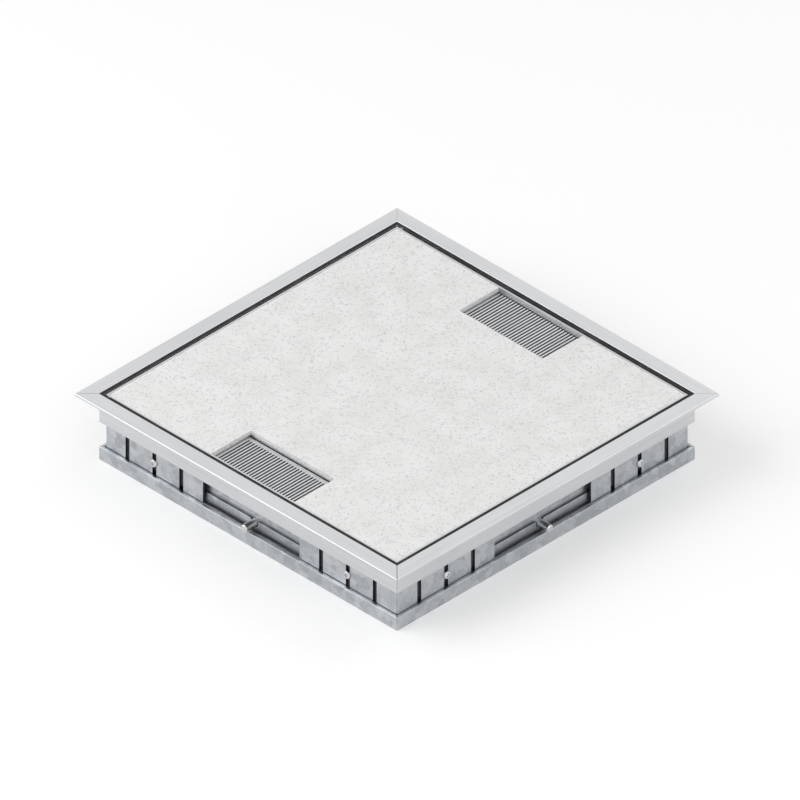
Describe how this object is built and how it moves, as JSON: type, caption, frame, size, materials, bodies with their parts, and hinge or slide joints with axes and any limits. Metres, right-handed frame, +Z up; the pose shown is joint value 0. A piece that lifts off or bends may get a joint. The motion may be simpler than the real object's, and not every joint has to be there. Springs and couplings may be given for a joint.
{
  "type": "floor box",
  "caption": "Square flanged floor box with a hinged inlaid lid, ribbed cord outlet flaps, spring latch studs and a height-adjustable frame.",
  "frame": {"origin": "middle of the base's underside", "axes": "+Z up; the lid's hinge is on the -X side; the cord outlets are on the -Y and +Y sides"},
  "size_m": [0.264, 0.264, 0.0466],
  "materials": {
    "anodised_frame": "satin clear anodised",
    "galvanised_steel": "galvanised sheet",
    "zinc_plated_steel": "bright zinc plated",
    "spring_steel": "oiled spring wire",
    "black_steel": "black phosphated",
    "seal_rubber": "matte black rubber",
    "lid_aluminium": "satin clear anodised",
    "inlay_vinyl": "pale flecked floor covering",
    "outlet_plastic": "moulded, fine texture",
    "flap_aluminium": "extruded, satin",
    "insert_plastic": "moulded, fine texture",
    "earth_brass": "plain brass"
  },
  "bodies": {
    "base": {"base_rail_back": "galvanised_steel", "base_rail_front": "galvanised_steel", "base_rail_left": "galvanised_steel", "base_rail_right": "galvanised_steel", "blank_inserts_left": "insert_plastic", "blank_inserts_right": "insert_plastic", "carrier_screws": "zinc_plated_steel", "device_carrier_left": "galvanised_steel", "device_carrier_right": "galvanised_steel", "earth_terminal": "earth_brass", "latch_body_back": "galvanised_steel", "latch_body_front": "galvanised_steel", "latch_body_left": "galvanised_steel", "latch_body_right": "galvanised_steel", "latch_caps": "zinc_plated_steel", "latch_keeper_back": "galvanised_steel", "latch_keeper_front": "galvanised_steel", "latch_keeper_left": "galvanised_steel", "latch_keeper_right": "galvanised_steel", "latch_spring_back": "spring_steel", "latch_spring_front": "spring_steel", "latch_spring_left": "spring_steel", "latch_spring_right": "spring_steel", "wall_panel_back": "galvanised_steel", "wall_panel_front": "galvanised_steel", "wall_panel_left": "galvanised_steel", "wall_panel_right": "galvanised_steel"},
    "frame": {"clamp_nuts": "zinc_plated_steel", "clamp_screws": "zinc_plated_steel", "corner_gussets": "black_steel", "frame_rail_back": "anodised_frame", "frame_rail_front": "anodised_frame", "frame_rail_left": "anodised_frame", "frame_rail_right": "anodised_frame", "gusset_screws": "zinc_plated_steel", "levelling_brackets_back": "black_steel", "levelling_brackets_front": "black_steel", "levelling_brackets_left": "black_steel", "levelling_brackets_right": "black_steel", "lid_pins": "zinc_plated_steel", "lid_seal": "seal_rubber"},
    "lid": {"flap_pin_back": "zinc_plated_steel", "flap_pin_front": "zinc_plated_steel", "lid_inlay": "inlay_vinyl", "lid_stiffener_left": "galvanised_steel", "lid_stiffener_right": "galvanised_steel", "lid_tray": "lid_aluminium", "outlet_frame_back": "outlet_plastic", "outlet_frame_front": "outlet_plastic"},
    "flap_front": {"grip_strips_front": "seal_rubber", "outlet_flap_front": "flap_aluminium"},
    "flap_back": {"grip_strips_back": "seal_rubber", "outlet_flap_back": "flap_aluminium"},
    "stud_front": {"latch_stud_front": "zinc_plated_steel"},
    "stud_right": {"latch_stud_right": "zinc_plated_steel"},
    "stud_back": {"latch_stud_back": "zinc_plated_steel"},
    "stud_left": {"latch_stud_left": "zinc_plated_steel"}
  },
  "joints": [
    {"name": "frame_level", "type": "slide", "parent": "base", "child": "frame", "axis": [0, 0, 1], "range_m": [-0.005, 0.004]},
    {"name": "lid_hinge", "type": "hinge", "parent": "frame", "child": "lid", "pos_m": [-0.1171, 0, 0.044], "axis": [0, -1, 0], "range_deg": [0, 115]},
    {"name": "flap_front_hinge", "type": "hinge", "parent": "lid", "child": "flap_front", "pos_m": [0, -0.0871, 0.0405], "axis": [-1, 0, 0], "range_deg": [0, 90]},
    {"name": "flap_back_hinge", "type": "hinge", "parent": "lid", "child": "flap_back", "pos_m": [0, 0.0871, 0.0405], "axis": [1, 0, 0], "range_deg": [0, 90]},
    {"name": "stud_front_push", "type": "slide", "parent": "base", "child": "stud_front", "axis": [0, 1, 0], "range_m": [0, 0.0038], "stiffness_N_per_m": 1500, "springref_m": -0.002, "deforming": ["latch_spring_front"]},
    {"name": "stud_right_push", "type": "slide", "parent": "base", "child": "stud_right", "axis": [-1, 0, 0], "range_m": [0, 0.0038], "stiffness_N_per_m": 1500, "springref_m": -0.002, "deforming": ["latch_spring_right"]},
    {"name": "stud_back_push", "type": "slide", "parent": "base", "child": "stud_back", "axis": [0, -1, 0], "range_m": [0, 0.0038], "stiffness_N_per_m": 1500, "springref_m": -0.002, "deforming": ["latch_spring_back"]},
    {"name": "stud_left_push", "type": "slide", "parent": "base", "child": "stud_left", "axis": [1, 0, 0], "range_m": [0, 0.0038], "stiffness_N_per_m": 1500, "springref_m": -0.002, "deforming": ["latch_spring_left"]}
  ]
}
